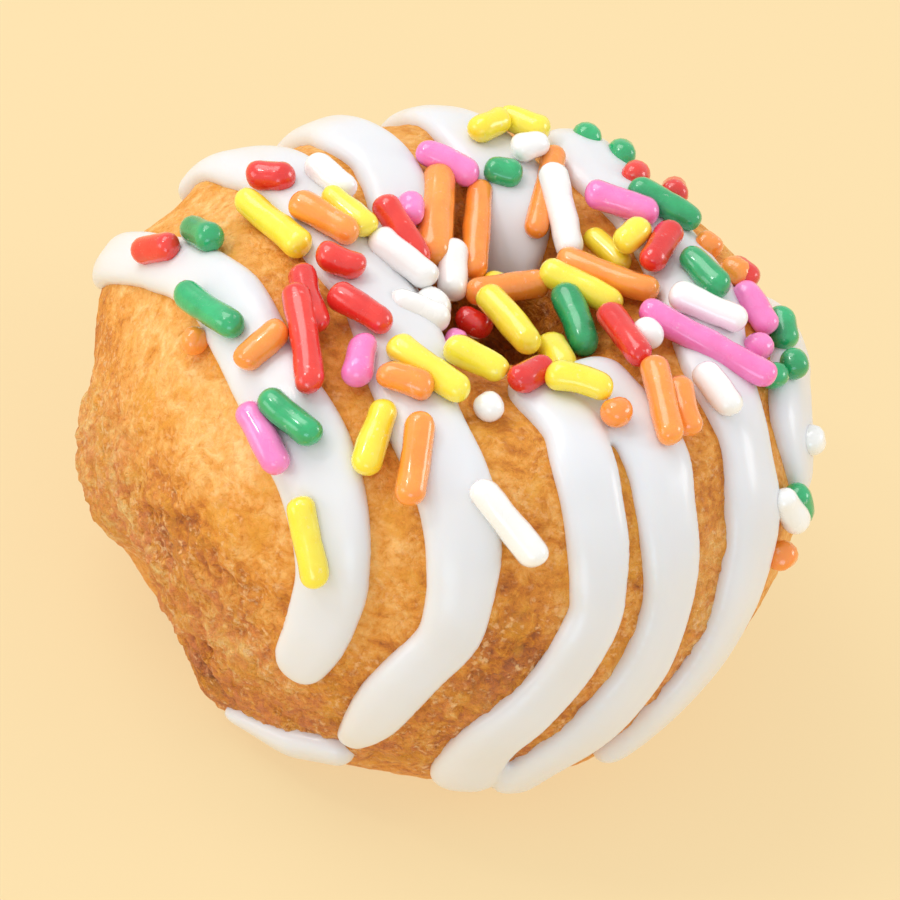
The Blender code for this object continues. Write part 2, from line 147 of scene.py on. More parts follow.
# Browning of the crust, from 0 pale to 1 dark, with painted shade in the hole: azimuth, section angle,
# spreads, amount
BROWNING_LEVEL = 0.44
BROWNED_AND_SHADED = (
    (196, 34, 24, 22, -0.17),
    (232, 40, 20, 16, -0.3),
    (231, 6, 14, 12, 0.12),
    (203, -4, 12, 14, -0.25),
    (216, -26, 12, 12, -0.06),
    (226, -16, 32, 24, -0.1),
    (248, 6, 8, 7, -0.1),
    (250, -10, 10, 10, -0.12),
    (241, -33, 10, 12, 0.18),
    (262, -38, 34, 12, 0.1),
    (264, 30, 10, 24, -0.1),
    (266, -2, 10, 10, 0.12),
    (290, 8, 12, 16, 0.14),
    (274, -24, 20, 12, 0.1),
    (291, 30, 9, 14, 0.1),
    (325, 30, 10, 20, -0.06),
    (334, 62, 12, 14, 0.05),
    (186, 63, 16, 12, -0.14),
    (160, 50, 26, 40, -0.12),
    # Painted shade: the wall of the hole is darkened all round
    (270, 150, 400, 34, 0.28),
    (90, 95, 60, 30, -0.1),
    (50, 18, 70, 26, -0.12),
    (186, 9, 5, 8, 0.14),
    (197, 17, 8, 5, 0.12),
    (213, 12, 4, 5, -0.16),
    (226, 4, 6, 4, 0.14),
    (232, 13, 5, 5, 0.22),
    (240, -31, 5, 8, 0.2),
    (246, -9, 4, 5, -0.16),
    (250, 3, 6, 3, 0.12),
    (253, 9, 4, 3, -0.1),
    (262, 28, 4, 8, -0.08),
    (267, -4, 6, 6, 0.12),
    (291, 20, 5, 6, 0.12),
    (297, 31, 3, 5, -0.16),
    (288, -8, 8, 6, 0.1),
)

# The icing: height above the dough and depth in it; a stripe narrower than full is lower
ICING_HEIGHT = 1.1
ICING_DEPTH = 0.8
FULL_HALF_WIDTH = 1.3

# A stripe's stations, coarse and fine: spacing, and shares of the half width near its ends
ICING_STATION = 2.4
ICING_END_STATIONS = (0.08, 0.4, 0.9)
FINE_STATION = 0.5
FINE_END_STATIONS = (0.02, 0.07, 0.15, 0.27, 0.42, 0.6, 0.8, 1.0)
CURVE_PARTS = 8

# A stripe's section, and the waves of its edges and its thickness
FINE_SECTION_POINTS = 30
FINE_SECTION_ROUNDNESS = 2.7
EDGE_WAVE = 0.09
EDGE_WAVE_SIZE = 3.4
THICKNESS_WAVE = 0.14

# How the stripes melt into each other
ICING_VOXEL = 0.24
ICING_SMOOTHING = 7

# Centre line of each icing stripe: azimuth, section angle, half width
ICING_STRIPES = (
    (
        (172, 10, 1.7), (175, 15, 1.9), (179.5, 24, 1.9), (187, 40, 1.9), (196, 54, 2.0),
        (207, 63, 2.2), (220, 64, 2.4), (233, 61, 2.5), (245, 54, 2.6), (254, 42, 2.5),
        (258.5, 29, 2.3), (259.5, 18, 2.15), (259.5, 9, 2.0), (258.5, 0, 1.7), (257.5, -6, 1.4),
    ),
    (
        (158, 23, 1.6), (159, 40, 2.0), (162, 58, 2.3), (170, 82, 2.45), (187, 103, 2.7),
        (205, 115, 3.3), (224, 116, 3.3), (241, 109, 3.0), (253, 97, 2.7), (263, 82, 2.4),
        (272, 66, 2.4), (277, 52, 2.35), (279, 40, 2.2), (279.5, 30, 2.0), (279, 20, 1.85),
        (276, 10, 1.8), (273.5, 0, 1.8), (271.5, -10, 1.6), (270, -19, 1.1), (269, -25, 0.8),
    ),
    (
        (271, -32, 1.1), (266, -35, 1.4), (260, -38, 1.3), (254, -41, 1.0), (249, -43, 0.7),
        (246, -44.5, 0.45),
    ),
    (
        (132, -22, 1.2), (133, -4, 1.3), (135, 10, 1.4), (136.5, 26, 1.5), (138, 42, 1.6),
        (141, 62, 1.8), (143, 80, 2.1), (143, 98, 2.2), (150, 114, 2.2), (166, 126, 2.2),
        (184, 133, 2.0),
    ),
    (
        (293, 118, 2.0), (296, 108, 2.1), (299, 98, 2.0), (301, 88, 1.95), (301, 78, 1.95),
        (301.5, 68, 1.95), (302, 58, 1.9), (302.5, 48, 1.85), (302.5, 38, 1.8), (302.5, 30, 1.75),
        (300.5, 20, 1.8), (298, 10, 1.9), (294.5, 0, 1.95), (291, -9, 2.0), (289.5, -19, 2.1),
        (289.5, -29, 2.1), (290, -38, 1.6),
    ),
    (
        (118, -32, 1.3), (118, -16, 1.4), (117, -2, 1.5), (116.5, 12, 1.6), (116, 32, 1.8),
        (115.5, 50, 2.0), (115, 66, 2.2), (112, 83, 2.5), (106, 101, 2.6), (98, 117, 2.5),
        (92, 131, 2.3), (89, 141, 2.0), (88, 147, 1.6),
    ),
    (
        (318, 120, 2.0), (317, 108, 2.3), (318, 94, 2.3), (319, 80, 2.3), (319, 70, 2.3),
        (318, 60, 2.2), (317.5, 50, 2.1), (317, 40, 2.0), (316.5, 30, 1.85), (315, 20, 1.8),
        (313, 10, 1.9), (310, 0, 2.05), (306.5, -10, 2.0), (301.5, -20, 1.75), (299, -29, 1.5),
        (297.5, -38, 1.35),
    ),
    (
        (91, -28, 1.4), (88, -8, 1.6), (86, 10, 1.7), (85, 26, 1.8), (84, 44, 2.1), (83, 62, 2.3),
        (80, 80, 2.5), (71, 89, 2.5), (60, 93, 2.3), (46, 96, 2.3), (31, 95, 2.4), (14, 92, 2.5),
        (0, 87, 2.6), (351, 79, 2.6), (346, 70, 2.5), (343, 60, 2.4), (340, 50, 2.35),
        (337.5, 40, 2.3), (335.5, 30, 2.3), (333, 20, 2.3), (331, 10, 2.35), (328, 0, 2.3),
        (323.5, -10, 2.1), (320.5, -20, 1.65), (318, -28, 1.4), (316, -35, 1.15),
    ),
    (
        (62, -24, 1.3), (60, -6, 1.5), (52, 10, 1.6), (42, 22, 1.7), (31, 34, 1.8), (21, 44, 2.0),
        (12, 50, 2.2), (5, 50, 2.4), (0, 45, 2.4), (357, 36, 2.1), (354, 27, 1.7),
    ),
)

# The rods: radius, and the sides, rings and cuts of their mesh
ROD_RADIUS = 0.9
ROD_SIDES = 14
ROD_RINGS = 13
ROD_CUTS = 5

# A rod's ends: length for a radius, roundness, and how many ends long the shortest rod is
ROD_END_SHARE = 1.05
ROD_END_ROUNDNESS = 2.25
ROD_LEAST_ENDS = 2.2

# How uneven the rods are at most: taper, slope of the ends, bend and waves
ROD_TAPER = 0.08
ROD_SLANT = 0.14
ROD_BEND = 0.2
ROD_WOBBLE = 0.12
ROD_WOBBLE_SIZE = 1.3
ROD_WOBBLE_SPAN = 90
ROD_SEED = 5

# The rods on the icing down the back, whose angles and lengths are drawn at random from ranges
HIDDEN_DRAWS = 300
HIDDEN_AZIMUTHS = (45.0, 138.0)
HIDDEN_SECTIONS = (-34.0, -6.0)
HIDDEN_LENGTHS = (3.8, 6.2)
HIDDEN_SPACING = 2.6
HIDDEN_LIFT = 1.45
HIDDEN_REACH = 0.2
HIDDEN_SEED = 11
HIDDEN_COLOUR_SEED = 227

# Rods that lie on the ring, by colour: azimuth and section angle of both tips, height above the dough
LYING_RODS = {
    "red": (
        (173.5, 68.5, 173.5, 83.5, 1.5), (186.5, 36, 191.5, 51.5, 1.6), (202.5, 94.5, 212.5, 109, 1.7),
        (207, 88, 229, 82, 1.3), (215.5, 82.5, 240, 66.5, 1.9), (220, 92.5, 240, 101, 1.75),
        (168, 112, 195.5, 128.5, 1.7), (283, 102, 298, 112, 1.8),
        (330.5, 100.5, 350.5, 121, 1.9), (21.5, 111.5, 39.5, 96.5, 1.9), (64, 90, 66, 79, 1.15),
        (53, 82, 58, 72, 1.15), (22, 72, 29, 79, 0.9),
    ),
    "green": (
        (186, 53.5, 194.5, 64, 1.4), (203.5, 53, 219.5, 63.5, 1.8), (233.5, 58, 247.5, 57.5, 1.9),
        (95, 113.5, 111.5, 113, 1.4), (40, 85, 61, 97, 1.6), (13.5, 86, 29.5, 97, 1.7),
        (71, 78, 75, 68, 1.1), (80, 76, 83, 68, 0.85), (4, 56, 9, 61, 1.5),
        (11.5, 59, 20, 63.5, 0.8), (347, 38.5, 348.5, 28, 1), (359, 61, 3, 66, 0.9),
    ),
    "orange": (
        (211, 48.5, 214.5, 51.5, 0.7), (224.5, 74.5, 225.5, 58, 1.7), (183.5, 85.5, 196.5, 109, 1.8),
        (247.5, 83, 262, 87, 1.75), (262, 78.5, 266.5, 53, 1.8), (307, 85.5, 315, 87.5, 1.55),
        (319.5, 73, 333, 99.5, 2), (327.5, 72.5, 335, 89.5, 1.4), (22, 75, 28, 81, 1),
        (33, 79.5, 39.5, 84, 0.8), (341, 24.5, 345, 21.5, 0.8),
    ),
    "yellow": (
        (177, 95, 191, 113.5, 1.9), (180, 68.5, 200, 91, 1.2), (249.5, 43, 258, 25.5, 1.7),
        (253.5, 78.5, 257, 55.5, 1.3), (243.5, 95.5, 270.5, 89, 1.86), (256.5, 110.5, 281.5, 107, 1.6),
        (294.5, 105.5, 312.5, 93, 2), (36, 117.5, 43, 106.5, 1.8), (90.5, 89, 103.5, 82.5, 1.6),
        (102, 86, 113.5, 97.5, 1.8),
    ),
    "white": (
        (165, 84, 171.5, 104, 1.5), (277, 64.5, 291, 46, 1.58), (275, 89.5, 279.5, 98, 0.85),
        (342, 102.5, 346.5, 111.5, 1.6), (340, 69.5, 344, 87.5, 1.5), (90, 97.5, 100, 106.5, 1.9),
        (5, 80, 7.5, 105.5, 1.9), (359.5, 43.5, 1, 35.5, 1.1), (343, 41.5, 346, 29, 1.1),
    ),
    "pink": (
        (237.5, 92.5, 245, 77, 1.3), (232, 52.5, 245, 45.5, 1.8), (355.5, 66.5, 354.5, 112.5, 2),
        (46, 98.5, 69, 111.5, 1.6), (11.5, 67, 21.5, 77.5, 0.9), (1.5, 74, 7.5, 69.5, 1),
        (114.5, 116, 134, 101.5, 1.3), (153, 117, 169, 122, 1.5),
    ),
}

# Rods that lean over the hole, by colour: both tips from the ring's axis and the foot, and the radius
LEANING_RODS = {
    "red": (
        (-2, -1.7, 24.5, 0.3, -2.4, 24.5, 0.85),
    ),
    "green": (
        (3.4, 1.1, 26.6, 6.2, -3.2, 25.9, 0.95),
    ),
    "orange": (
        (-5.8, 7.9, 26.8, -4.4, 0.2, 26, 1.1), (-3.2, 8.1, 26.5, -1.7, 0.9, 25.2, 0.85),
        (0.6, 12.4, 27.3, 1, 5.2, 26.2, 0.78), (2.7, 3.8, 26.4, 9.2, 2.4, 27.4, 0.9),
        (-1.8, -1, 25.4, 2.7, 1.9, 25.8, 0.9),
    ),
    "yellow": (
        (2, 2.1, 26.6, 7.3, 0.5, 27, 0.92), (-0.9, -1.2, 26.4, 3.1, -5.3, 26.8, 0.92),
        (3.6, -2.8, 25.6, 5.4, -5.8, 26.4, 0.95), (4, 7.1, 26.2, 7, 4.9, 26.2, 0.75),
        (-1.2, 1.4, 24.8, 0.6, 1.2, 24.8, 0.9),
    ),
    "white": (
        (0.6, 9.8, 28.2, 3.6, 4.2, 26.3, 0.9), (-8.3, -0.6, 27.4, -3.8, -2.6, 27, 0.93),
        (-3.5, 2.3, 26.4, -2.5, -1.5, 25.2, 0.95), (-6.1, -5.1, 26.8, -2.2, -5, 26.5, 0.95),
        (-4.6, -3.1, 25.8, -2.4, -3.9, 26, 0.9),
    ),
    "pink": (
        (-2.2, -5.2, 25.6, -0.9, -5.4, 25.6, 0.8),
    ),
}

# Two tones of each colour of rod, linear
ROD_COLOURS = {
    "red": ((0.92, 0.05, 0.03, 1.0), (0.72, 0.012, 0.012, 1.0)),
    "orange": ((1.0, 0.38, 0.06, 1.0), (1.0, 0.27, 0.03, 1.0)),
    "yellow": ((1.0, 0.89, 0.08, 1.0), (1.0, 0.76, 0.025, 1.0)),
    "green": ((0.03, 0.54, 0.2, 1.0), (0.006, 0.29, 0.09, 1.0)),
    "pink": ((1.0, 0.3, 0.68, 1.0), (1.0, 0.19, 0.51, 1.0)),
    "white": ((0.98, 0.98, 0.96, 1.0), (0.95, 0.94, 0.9, 1.0)),
}

# Tones of the crust along the scale of browning and painted shade: position, linear colour
CRUST_TONES = (
    (0.0, (0.98, 0.62, 0.24, 1.0)),
    (0.22, (0.92, 0.46, 0.12, 1.0)),
    (0.45, (0.79, 0.305, 0.034, 1.0)),
    (0.65, (0.57, 0.175, 0.013, 1.0)),
    (0.85, (0.3, 0.075, 0.008, 1.0)),
    (1.0, (0.13, 0.03, 0.006, 1.0)),
)

# Other colours of the finishes, linear
ROSY_CRUST = (0.84, 0.285, 0.115, 1.0)
AMBER_CRUST = (0.84, 0.37, 0.035, 1.0)
# Painted highlight: a pale peach colour mixed into the crust on its glossy crumbs
CRUST_PAINTED_GLINT = (1.0, 0.6, 0.28, 1.0)
THIN_ICING = (0.76, 0.765, 0.79, 1.0)
THICK_ICING = (0.81, 0.81, 0.825, 1.0)
SUGAR_FROST = (0.95, 0.95, 0.93, 1.0)

# Patterns of the finishes: size in millimetres, detail, roughness and distortion of the noise
CRUST_CLOUDS = (4.5, 3.0, 0.5, 0.0)
CRUST_BLOTCHES = (1.5, 4.0, 0.65, 0.8)
CRUST_GRAINS = (0.45, 4.0, 0.7, 0.4)
AMBER_PATCHES = (2.8, 3.0, 0.6, 0.5)
GLOSSY_AND_PAINTED_GLINT_PATCHES = (1.8, 3.0, 0.6, 0.0)
GLOSS_AND_PAINTED_GLINTS = (0.36, 2.0, 0.55, 0.0)
ICING_CLOUDS = (4.0, 2.0, 0.5, 0.0)
ICING_RIPPLES = (1.1, 2.0, 0.5, 0.0)
ROD_MOTTLE = (1.4, 3.0, 0.55, 0.0)
ROD_FROST = (0.5, 3.0, 0.6, 0.0)
ROD_GRAIN = (0.8, 2.0, 0.5, 0.0)

# What the relief adds as painted shade, darker in hollows and folds and lighter on lumps, and what the
# patterns add to the browning, counted from the noise's middle
NOISE_MIDDLE = 0.5
RELIEF_PAINTED_SHADE = -0.4
CLOUDS_BROWN = 0.4
BLOTCHES_BROWN = 1.15

# How patterns show: the range of the pattern, and the range of what it gives there
GRAIN_CONTRAST = (0.0, 0.8, 0.6, 1.5)
ROSY_SPREAD = (0.4, 0.6, 0.0, 0.7)
AMBER_SPREAD = (0.52, 0.64, 0.0, 0.55)
GLINT_PATCH_SPREAD = (0.46, 0.56, 0.0, 1.0)
GLINT_SPREAD = (0.52, 0.68, 0.0, 1.0)
# Painted highlight: how much of the peach colour the glossy spots get, more on rough crust
PAINTED_GLINT_SHARE = (0.0, 0.5, 0.4, 0.9)
CRUST_SHEEN = (0.0, 0.6, 0.52, 0.36)
ICING_SHEEN = (0.3, 0.7, 0.28, 0.36)
MOTTLE_SPREAD = (0.35, 0.65, 0.0, 0.5)
FROST_SPREAD = (0.64, 0.76, 0.0, 0.35)
ROD_SHEEN = (0.3, 0.7, 0.18, 0.32)

# Shares of a rod's own shade in its colour, and of the grains in the crust's bump
ROD_SHADE_SHARE = 0.5
GRAIN_BUMP_SHARE = 1.1

# Bump of the finishes: strength, depth in millimetres
CRUST_BUMP = (1.0, 0.32)
ICING_BUMP = (0.12, 0.05)
ROD_BUMP = (0.2, 0.07)

# The floor, in metres and linear colours
FLOOR_HALF_SIDE = 1.5
FLOOR_COLOUR = (0.252, 0.197, 0.111, 1.0)
FLOOR_GLOW = (0.965, 0.752, 0.423, 1.0)
FLOOR_GLOW_STRENGTH = 0.72

# The soft lights: name, direction they stand in, side in metres, watts, colour
LIGHTS = (
    ("key", (-0.6, 0.25, 0.9), 0.3, 0.8, (1.0, 1.0, 1.0)),
    ("side", (0.95, 0.3, 0.45), 0.16, 0.36, (1.0, 1.0, 1.0)),
    ("front", (0.1, -1.0, 0.12), 0.22, 0.42, (0.55, 0.78, 1.0)),
    ("left", (-1.0, -0.55, 0.12), 0.25, 0.42, (0.97, 0.98, 1.0)),
    ("sparkle", (-0.66, -0.16, 0.71), 0.06, 0.26, (1.0, 1.0, 1.0)),
)

# Distance of the lights in metres, and the brightness of the white surrounding
LIGHT_DISTANCE = 0.5
SURROUNDING_BRIGHTNESS = 0.8

# The camera: millimetres, degrees and pixels of the picture, each VIEW_PIXEL wide on the dough
VIEW_DISTANCE = 320.0
VIEW_ELEVATION = 43.0
VIEW_ROLL = 18.0
VIEW_PIXEL = 0.062
IMAGE_SIDE = 900
SENSOR = 36.0
AIM_PIXELS = (1.0, 5.0)

# The nearest and farthest that the camera sees, in metres
CLIP_RANGE = (0.05, 5.0)


def turn_between(angle, other):
    """Smallest turn from one angle to another, in degrees."""
    return (angle - other + 180.0) % 360.0 - 180.0


def patch_weight(azimuth, section, patch):
    """Share from 1 in the middle of a patch of dough down to 0 well outside it."""
    middle, lean, wide, high = patch
    across = turn_between(azimuth, middle) / wide
    along = turn_between(section, lean) / high
    return math.exp(-across ** 2 - along ** 2)


def add_up(patches, azimuth, section, level=0.0):
    """A level with what each patch of dough adds to it at a place."""
    return sum((patch[4] * patch_weight(azimuth, section, patch[:4]) for patch in patches), level)


def dough_point(azimuth, section):
    """The place on the dough at an azimuth and a section angle."""
    turn = math.radians(azimuth)
    out = math.cos(math.radians(section))
    up = math.sin(math.radians(section))
    power = INNER_ROUNDNESS if out < 0 else OUTER_ROUNDNESS
    half_width = INNER_HALF_WIDTH if out < 0 else OUTER_HALF_WIDTH
    reach = (abs(out) ** power + abs(up) ** power) ** (-1.0 / power)
    swell = add_up(BULGES, azimuth, section)
    radius = RING_RADIUS + (half_width * reach + swell) * out
    height = RING_HEIGHT + (HALF_HEIGHT * reach + swell) * up
    inwards = (RING_RADIUS + OUTER_HALF_WIDTH - radius) / (2 * OUTER_HALF_WIDTH)
    shift = HOLE_SHIFT * min(max(inwards, 0.0), 1.0)
    place = Vector((radius * math.cos(turn), radius * math.sin(turn) + shift, height))
    middle = Vector((RING_RADIUS * math.cos(turn), RING_RADIUS * math.sin(turn), RING_HEIGHT))
    lump = UNEVEN_HEIGHT * noise.noise(place / UNEVEN_SIZE)
    lump += CRAG_HEIGHT * patch_weight(azimuth, section, CRAG_PATCH) * noise.noise(place / CRAG_SIZE)
    return place + lump * (place - middle).normalized()


def dough_axes(azimuth, section):
    """Steps on the dough for one degree of azimuth and of section angle, and the way out of it."""
    step = 0.5
    east = dough_point(azimuth + step, section) - dough_point(azimuth - step, section)
    north = dough_point(azimuth, section + step) - dough_point(azimuth, section - step)
    return east, north, east.cross(north).normalized()


def above_dough(azimuth, section, height):
    """The place at a height above the dough."""
    outwards = dough_axes(azimuth, section)[2]
    return dough_point(azimuth, section) + outwards * height


def in_metres(place):
    """A place in millimetres from the ring's axis, as a place in the model."""
    return (place + Vector((RING_CENTRE[0], RING_CENTRE[1], 0.0))) * MM


def object_from(builder, name):
    """Turn a bmesh into a smooth-shaded object with its faces pointing out."""
    bmesh.ops.recalc_face_normals(builder, faces=builder.faces)
    mesh = bpy.data.meshes.new(name)
    builder.to_mesh(mesh)
    builder.free()
    mesh.shade_smooth()
    item = bpy.data.objects.new(name, mesh)
    bpy.context.scene.collection.objects.link(item)
    return item


def apply_modifiers(item):
    """Replace an object's mesh by its evaluated mesh."""
    view = bpy.context.evaluated_depsgraph_get()
    mesh = bpy.data.meshes.new_from_object(item.evaluated_get(view))
    item.modifiers.clear()
    item.data = mesh
    mesh.shade_smooth()


def crust_relief(place, rough):
    """Height of the lumps, crumbs and pimples at a place on the crust."""
    lumps = noise.fractal(place / LUMP_SIZE, LUMP_FADE, LAYER_STEP, LUMP_LAYERS)
    crumbs = noise.fractal(place / CRUMB_SIZE, CRUMB_FADE, LAYER_STEP, CRUMB_LAYERS)
    pimples = PIMPLE_TOP - PIMPLE_SLOPE * noise.voronoi(place / PIMPLE_SIZE)[0][0]
    share = SMOOTH_SHARE + (1.0 - SMOOTH_SHARE) * rough
    return share * (LUMP_HEIGHT * lumps + CRUMB_HEIGHT * crumbs + PIMPLE_HEIGHT * pimples)


def fold_depth(azimuth, section, place):
    """Depth of the crust's folds, whose lines wander."""
    azimuth += FOLD_WANDER[0] * noise.noise(place / CRUMB_SIZE / 2)
    section += FOLD_WANDER[1] * noise.noise(place / CRUMB_SIZE)
    depth = 0.0
    for start, lean, end, other_lean, width, deepest in FOLDS:
        along = turn_between(azimuth, start) * DEGREE_OF_AZIMUTH
        up = (section - lean) * DEGREE_OF_SECTION
        here = Vector((along, up))
        run_along = turn_between(end, start) * DEGREE_OF_AZIMUTH
        run_up = (other_lean - lean) * DEGREE_OF_SECTION
        run = Vector((run_along, run_up))
        share = min(max(here.dot(run) / run.dot(run), 0.0), 1.0)
        gap = (here - run * share).length / width
        depth = max(depth, deepest * math.exp(-gap ** 2))
    return depth


def roughness(azimuth, section):
    """How craggy the crust is, from 0 to 1."""
    return min(add_up(ROUGH_PATCHES, azimuth, section), 1.0)


def drawn_to(angle, fine):
    """An angle moved towards the fine part of the mesh."""
    middle, pull = fine
    return angle - math.degrees(pull * math.sin(math.radians(angle - middle)))


def browning_and_shade(azimuth, section):
    """How dark the crust is fried, from 0 to 1, with painted shade in the hole."""
    return min(max(add_up(BROWNED_AND_SHADED, azimuth, section, BROWNING_LEVEL), 0.0), 1.0)


def make_crust():
    """The ring: a circle spun about the axis, then laid on the dough's surface with its crumbs."""
    builder = bmesh.new()
    stand = Matrix.Translation((RING_RADIUS, 0.0, 0.0)) @ Matrix.Rotation(math.pi / 2, 4, "X")
    bmesh.ops.create_circle(builder, segments=SECTION_STEPS, radius=1.0, matrix=stand)
    bmesh.ops.spin(
        builder,
        geom=builder.verts[:] + builder.edges[:],
        cent=(0.0, 0.0, 0.0),
        axis=(0.0, 0.0, 1.0),
        angle=2 * math.pi,
        steps=AZIMUTH_STEPS,
        use_merge=True,
    )
    fried_and_shaded = builder.verts.layers.float.new("browning_and_shade")
    crags = builder.verts.layers.float.new("crags")
    relief = builder.verts.layers.float.new("relief")
    for corner in builder.verts:
        azimuth = drawn_to(math.degrees(math.atan2(corner.co.y, corner.co.x)), FINE_AZIMUTH)
        across = math.hypot(corner.co.x, corner.co.y) - RING_RADIUS
        section = drawn_to(math.degrees(math.atan2(corner.co.z, across)), FINE_SECTION)
        rough = roughness(azimuth, section)
        place = dough_point(azimuth, section)
        middle = Vector((place.x, place.y, 0.0)).normalized() * RING_RADIUS
        middle.z = RING_HEIGHT
        height = crust_relief(place, rough) - fold_depth(azimuth, section, place)
        place += height * (place - middle).normalized()
        place.z = max(place.z, 0.0)
        corner.co = in_metres(place)
        corner[fried_and_shaded] = browning_and_shade(azimuth, section)
        corner[crags] = rough
        corner[relief] = height
    crust = object_from(builder, "crust")
    crust.data.materials.append(make_crust_material())
    return crust


def unwrapped(rows):
    """The rows with azimuths that don't jump at 360 degrees."""
    out = [Vector(rows[0])]
    for row in rows[1:]:
        step = turn_between(row[0], out[-1][0])
        out.append(Vector((out[-1][0] + step, row[1], row[2])))
    return out


def curve_point(rows, part):
    """A point on a smooth curve through rows, a part of the way between the middle two of four."""
    before, start, end, after = rows
    slope_start = (end - before) / 2
    slope_end = (after - start) / 2
    cube = part ** 3
    square = part ** 2
    return (
        start * (2 * cube - 3 * square + 1)
        + slope_start * (cube - 2 * square + part)
        + end * (3 * square - 2 * cube)
        + slope_end * (cube - square)
    )


def smooth_path(rows):
    """Close points on a smooth curve through the rows, each with its distance along the dough."""
    rows = unwrapped(rows)
    rows = [2 * rows[0] - rows[1]] + rows + [2 * rows[-1] - rows[-2]]
    fine = []
    for index in range(1, len(rows) - 2):
        for part in range(CURVE_PARTS):
            fine.append(curve_point(rows[index - 1:index + 3], part / CURVE_PARTS))
    fine.append(rows[-2])
    travelled = [0.0]
    for row, following in zip(fine, fine[1:]):
        step = dough_point(following[0], following[1]) - dough_point(row[0], row[1])
        travelled.append(travelled[-1] + step.length)
    return fine, travelled


def station_distances(total, half_width, spacing, end_shares):
    """Distances along a stripe: close together at its ends, even between them."""
    near = [share * half_width for share in end_shares]
    free = total - 2 * near[-1]
    count = max(2, round(free / spacing))
    between = [near[-1] + free * index / count for index in range(1, count)]
    return near + between + [total - reach for reach in reversed(near)]


def stripe_stations(rows, spacing, end_shares):
    """Stations of a stripe: its row, its way along the dough in degrees, its distance from an end."""
    fine, travelled = smooth_path(rows)
    total = travelled[-1]
    stations = []
    for distance in station_distances(total, rows[0][2], spacing, end_shares):
        index = max(i for i, gone in enumerate(travelled[:-1]) if gone <= distance)
        share = (distance - travelled[index]) / (travelled[index + 1] - travelled[index])
        row = fine[index].lerp(fine[index + 1], share)
        stations.append((row, fine[index + 1] - fine[index], min(distance, total - distance)))
    return stations


def steps_towards(side, east, north):
    """Degrees of azimuth and of section angle that move one millimetre sideways on the dough."""
    along_east = east.dot(east)
    along_north = north.dot(north)
    mixed = east.dot(north)
    to_east = side.dot(east)
    to_north = side.dot(north)
    scale = along_east * along_north - mixed ** 2
    east_share = (to_east * along_north - to_north * mixed) / scale
    north_share = (to_north * along_east - to_east * mixed) / scale
    return east_share, north_share


def rounded_section():
    """The icing's section: shares of half width, and of height above or depth below the dough."""
    section = []
    for index in range(FINE_SECTION_POINTS):
        turn = 2 * math.pi * index / FINE_SECTION_POINTS
        across = math.copysign(abs(math.cos(turn)) ** (2 / FINE_SECTION_ROUNDNESS), math.cos(turn))
        rise = math.copysign(abs(math.sin(turn)) ** (2 / FINE_SECTION_ROUNDNESS), math.sin(turn))
        section.append((across, rise))
    return section


def icing_ring(station, section_shape):
    """The icing's section at one station, laid across the stripe on the dough."""
    (azimuth, section, half_width), way, from_end = station
    east, north, outwards = dough_axes(azimuth, section)
    side = outwards.cross(east * way[0] + north * way[1]).normalized()
    east_share, north_share = steps_towards(side, east, north)
    rounding = min(from_end / half_width, 1.0)
    fullness = math.sqrt(1.0 - (1.0 - rounding) ** 2)
    middle = dough_point(azimuth, section)
    ring = []
    for across, rise in section_shape:
        wave = noise.noise((middle + side * math.copysign(half_width, across)) / EDGE_WAVE_SIZE)
        reach = across * half_width * fullness * (1.0 + EDGE_WAVE * wave)
        height = rise * ICING_DEPTH
        if rise > 0:
            swell = 1.0 + THICKNESS_WAVE * noise.noise(middle / EDGE_WAVE_SIZE)
            height = rise * ICING_HEIGHT * fullness * swell * min(half_width / FULL_HALF_WIDTH, 1.0)
        ring.append(above_dough(azimuth + reach * east_share, section + reach * north_share, height))
    return ring


def add_icing_stripe(builder, rows):
    """A stripe of drizzled icing: a straight tube, closed at its ends, then laid on the dough."""
    stations = stripe_stations(rows, FINE_STATION, FINE_END_STATIONS)
    section_shape = rounded_section()
    rings = [icing_ring(station, section_shape) for station in stations]
    sides = len(section_shape)
    tube = bmesh.new()
    bmesh.ops.create_circle(tube, segments=sides, radius=1.0)
    bmesh.ops.spin(
        tube,
        geom=tube.verts[:] + tube.edges[:],
        dvec=(0.0, 0.0, 1.0),
        axis=(0.0, 0.0, 1.0),
        steps=len(rings) - 1,
    )
    bmesh.ops.holes_fill(tube, edges=[edge for edge in tube.edges if edge.is_boundary])
    for corner in tube.verts:
        turn = math.atan2(corner.co.y, corner.co.x) / (2 * math.pi)
        corner.co = in_metres(rings[round(corner.co.z)][round(turn * sides) % sides])
    bmesh.ops.recalc_face_normals(tube, faces=tube.faces)
    join(builder, tube)


def join(builder, part):
    """Add a part's mesh to a larger one."""
    mesh = bpy.data.meshes.new("part")
    part.to_mesh(mesh)
    part.free()
    builder.from_mesh(mesh)
    bpy.data.meshes.remove(mesh)


def make_icing():
    """All stripes, melted into each other where they meet."""
    builder = bmesh.new()
    for rows in ICING_STRIPES:
        add_icing_stripe(builder, rows)
    icing = object_from(builder, "icing")
    melt = icing.modifiers.new("melt", "REMESH")
    melt.mode = "VOXEL"
    melt.voxel_size = ICING_VOXEL * MM
    flow = icing.modifiers.new("flow", "SMOOTH")
    flow.factor = 0.5
    flow.iterations = ICING_SMOOTHING
    apply_modifiers(icing)
    icing.data.materials.clear()
    icing.data.materials.append(make_icing_material())
    return icing


